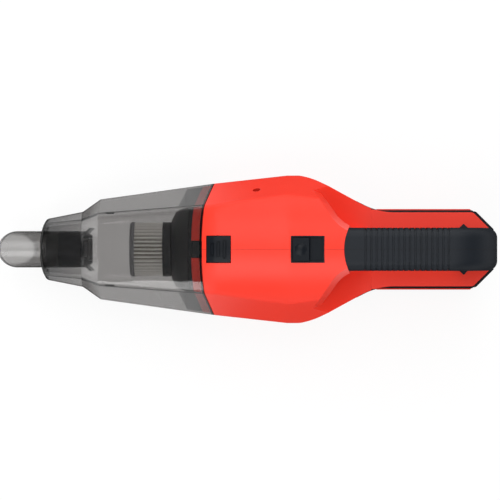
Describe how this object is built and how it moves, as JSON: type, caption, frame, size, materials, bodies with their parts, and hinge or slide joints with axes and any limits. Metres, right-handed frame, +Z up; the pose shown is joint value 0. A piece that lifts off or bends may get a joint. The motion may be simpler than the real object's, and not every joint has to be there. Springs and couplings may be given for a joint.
{
  "type": "handheld vacuum cleaner",
  "caption": "Cordless handheld vacuum: smoke-clear dust cup with slanted spout, motor housing with D handle, pleated filter and slide-on battery pack.",
  "frame": {"origin": "centre of the bounding box on the floor plane", "axes": "+X to the rear (handle end), nose to -X, +Y to the right-hand shell with the screws, +Z up"},
  "size_m": [0.4425, 0.131, 0.1436],
  "materials": {
    "red_plastic": "semi-gloss moulded",
    "black_plastic": "fine moulded texture",
    "grip_rubber": "matt soft-touch",
    "smoke_clear": "polished smoke-tinted clear",
    "filter_paper": "pleated",
    "soft_rubber": "smooth",
    "steel": "bright",
    "copper": "plated",
    "magnet": "sintered",
    "fan_plastic": "plain",
    "board": "solder-masked",
    "cell_wrap": "shrink sleeve"
  },
  "bodies": {
    "housing": {"housing_left": "red_plastic", "housing_right": "red_plastic", "grip_left": "grip_rubber", "grip_right": "grip_rubber", "filter_frame": "black_plastic", "cup_seal": "soft_rubber", "switch_bezel": "black_plastic", "switch_module": "black_plastic", "fan_shroud": "fan_plastic", "motor_can": "steel", "motor_cap": "black_plastic", "motor_magnets": "magnet", "front_bearing": "steel", "rear_bearing": "steel", "motor_mount_front": "soft_rubber", "motor_mount_rear": "soft_rubber", "battery_shoe": "black_plastic", "terminal_block": "black_plastic", "terminal_blades": "copper", "control_board": "board", "motor_leads": "soft_rubber", "housing_screws": "steel", "release_spring": "steel"},
    "cup": {"dust_cup": "smoke_clear", "intake_duct": "black_plastic", "flap_pin": "steel"},
    "spout": {"inlet_spout": "smoke_clear"},
    "flap": {"flap_valve": "soft_rubber"},
    "filter": {"filter_pleats": "filter_paper", "filter_cap": "black_plastic", "filter_collar": "black_plastic"},
    "release": {"release_button": "black_plastic"},
    "switch": {"switch_slider": "black_plastic"},
    "rotor": {"impeller": "fan_plastic", "armature": "steel", "motor_shaft": "steel"},
    "battery": {"battery_base": "black_plastic", "battery_top": "black_plastic", "battery_trims": "red_plastic", "battery_cells": "cell_wrap", "cell_straps": "steel", "battery_latch_spring": "steel"},
    "pack_button": {"battery_latch": "black_plastic"}
  },
  "joints": [
    {"name": "cup_pull", "type": "slide", "parent": "housing", "child": "cup", "axis": [-1, 0, 0], "range_m": [0, 0.12]},
    {"name": "spout_pull", "type": "slide", "parent": "cup", "child": "spout", "axis": [-1, 0, 0], "range_m": [0, 0.03]},
    {"name": "flap_swing", "type": "hinge", "parent": "cup", "child": "flap", "pos_m": [-0.1371, 0, 0.0485], "axis": [0, -1, 0], "range_deg": [0, 40]},
    {"name": "filter_pull", "type": "slide", "parent": "housing", "child": "filter", "axis": [-1, 0, 0], "range_m": [0, 0.014]},
    {"name": "release_press", "type": "slide", "parent": "housing", "child": "release", "axis": [0, 0, -1], "range_m": [0, 0.003], "stiffness_N_per_m": 900, "deforming": ["release_spring"]},
    {"name": "switch_slide", "type": "slide", "parent": "housing", "child": "switch", "axis": [0.9816, 0, 0.1908], "range_m": [0, 0.009]},
    {"name": "motor_spin", "type": "hinge", "parent": "housing", "child": "rotor", "pos_m": [0.02, 0, 0.054], "axis": [1, 0, 0], "continuous": true},
    {"name": "battery_slide", "type": "slide", "parent": "housing", "child": "battery", "axis": [1, 0, 0], "range_m": [0, 0.11]},
    {"name": "pack_button_press", "type": "slide", "parent": "battery", "child": "pack_button", "axis": [-1, 0, 0], "range_m": [0, 0.0025], "stiffness_N_per_m": 700, "deforming": ["battery_latch_spring"]}
  ]
}
